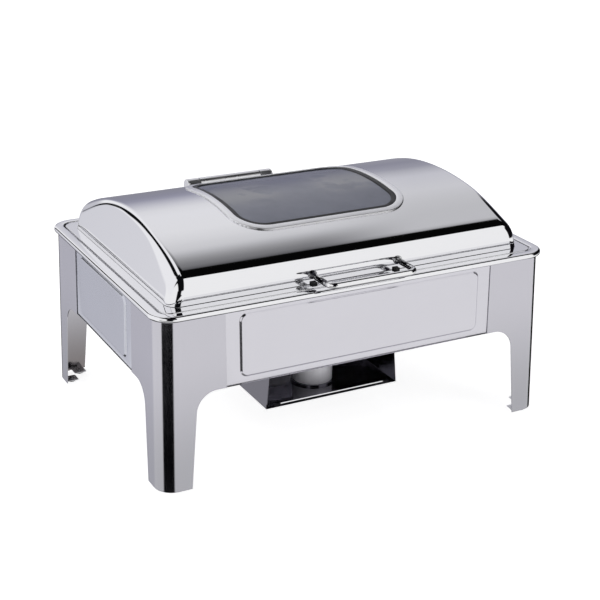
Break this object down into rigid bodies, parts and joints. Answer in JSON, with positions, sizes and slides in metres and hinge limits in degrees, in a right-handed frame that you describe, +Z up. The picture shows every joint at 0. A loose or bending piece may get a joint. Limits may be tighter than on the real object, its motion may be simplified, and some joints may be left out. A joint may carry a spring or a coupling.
{
  "type": "roll top chafer",
  "caption": "Rectangular stainless steel chafer: arched-leg stand, water pan, food pan, hinged barrel lid with a curved window, and a slide-out fuel tray.",
  "frame": {"origin": "on the table, under the middle of the stand", "axes": "+X along the length, to the right of a person who faces the serving side; -Y is the serving side with the handle; +Z up"},
  "size_m": [0.64, 0.504, 0.3462],
  "materials": {
    "polished_steel": "mirror polished stainless steel",
    "panel_steel": "polished stainless steel sheet, slightly soft",
    "pan_steel": "fine satin stainless steel",
    "tray_steel": "polished stainless steel sheet",
    "satin_steel": "satin stainless steel",
    "smoked_glass": "tempered glass with a grey tint",
    "gasket_rubber": "matt black silicone",
    "black_rubber": "matt black rubber",
    "black_nylon": "black nylon"
  },
  "bodies": {
    "stand": {"leg_front_left": "polished_steel", "leg_front_right": "polished_steel", "leg_rear_left": "polished_steel", "leg_rear_right": "polished_steel", "panel_front": "panel_steel", "panel_rear": "panel_steel", "panel_left": "panel_steel", "panel_right": "panel_steel", "top_rim": "polished_steel", "foot_pads": "black_rubber", "foot_rivets": "satin_steel", "water_pan": "pan_steel", "lid_bumpers": "black_rubber", "hinge_base": "polished_steel", "hinge_pin": "polished_steel", "hinge_caps": "polished_steel", "hinge_washers": "black_nylon", "hinge_screws": "satin_steel", "tray_rail_left": "tray_steel", "tray_rail_right": "tray_steel", "rail_rivets": "satin_steel"},
    "pan": {"food_pan": "pan_steel"},
    "lid": {"lid_shell": "polished_steel", "window_glass": "smoked_glass", "window_gasket": "gasket_rubber", "window_trim": "polished_steel", "window_retainer": "satin_steel", "lid_handle": "polished_steel", "handle_washers": "polished_steel", "handle_nuts": "satin_steel", "hinge_arm_left": "polished_steel", "hinge_arm_right": "polished_steel", "hinge_arm_rivets": "satin_steel"},
    "tray": {"fuel_tray": "tray_steel"},
    "cup_front": {"fuel_cup_front": "polished_steel"},
    "cup_rear": {"fuel_cup_rear": "polished_steel"},
    "cover_front": {"cup_cover_front": "tray_steel"},
    "cover_rear": {"cup_cover_rear": "tray_steel"}
  },
  "joints": [
    {"name": "lid_hinge", "type": "hinge", "parent": "stand", "child": "lid", "pos_m": [0, 0.238, 0.2885], "axis": [-1, 0, 0], "range_deg": [0, 90]},
    {"name": "pan_lift", "type": "slide", "parent": "stand", "child": "pan", "axis": [0, 0, 1], "range_m": [0, 0.04]},
    {"name": "tray_slide", "type": "slide", "parent": "stand", "child": "tray", "axis": [0, -1, 0], "range_m": [0, 0.12]},
    {"name": "cup_front_lift", "type": "slide", "parent": "tray", "child": "cup_front", "axis": [0, 0, 1], "range_m": [0, 0.03]},
    {"name": "cup_rear_lift", "type": "slide", "parent": "tray", "child": "cup_rear", "axis": [0, 0, 1], "range_m": [0, 0.03]},
    {"name": "cover_front_swing", "type": "hinge", "parent": "cup_front", "child": "cover_front", "pos_m": [0.035, -0.07, 0.11], "axis": [0, 0, 1], "range_deg": [0, 120]},
    {"name": "cover_rear_swing", "type": "hinge", "parent": "cup_rear", "child": "cover_rear", "pos_m": [-0.035, 0.07, 0.11], "axis": [0, 0, 1], "range_deg": [0, 120]}
  ]
}
